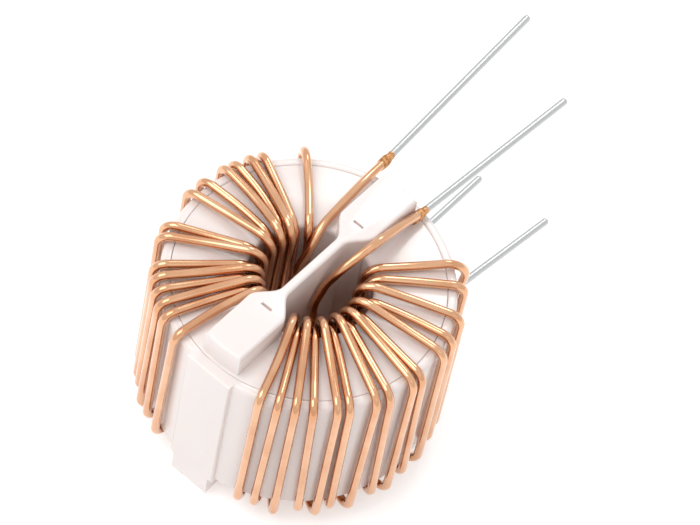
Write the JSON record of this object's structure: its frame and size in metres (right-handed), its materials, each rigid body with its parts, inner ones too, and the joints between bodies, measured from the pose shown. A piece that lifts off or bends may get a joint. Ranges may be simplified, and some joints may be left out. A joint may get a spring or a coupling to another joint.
{
  "type": "toroidal inductor",
  "caption": "Toroidal common-mode choke: ferrite ring in a round plastic case with a separator bar, wound with enamelled copper wire, tinned ends to one side.",
  "frame": {"origin": "on the ring's axis at the underside of the rear bar, which the part lies on", "axes": "+Z along the ring's axis towards the front bar, +X the way the wire ends point, +Y towards the left coil"},
  "size_m": [0.0559, 0.0324, 0.0247],
  "materials": {
    "ferrite": null,
    "case_plastic": "smooth glossy white moulding",
    "copper_wire": "clear enamelled copper; the straight ends are tinned"
  },
  "bodies": {
    "root": {"ferrite_core": "ferrite", "case_cup": "case_plastic", "case_lid": "case_plastic", "winding_left": "copper_wire", "winding_right": "copper_wire"}
  },
  "joints": []
}
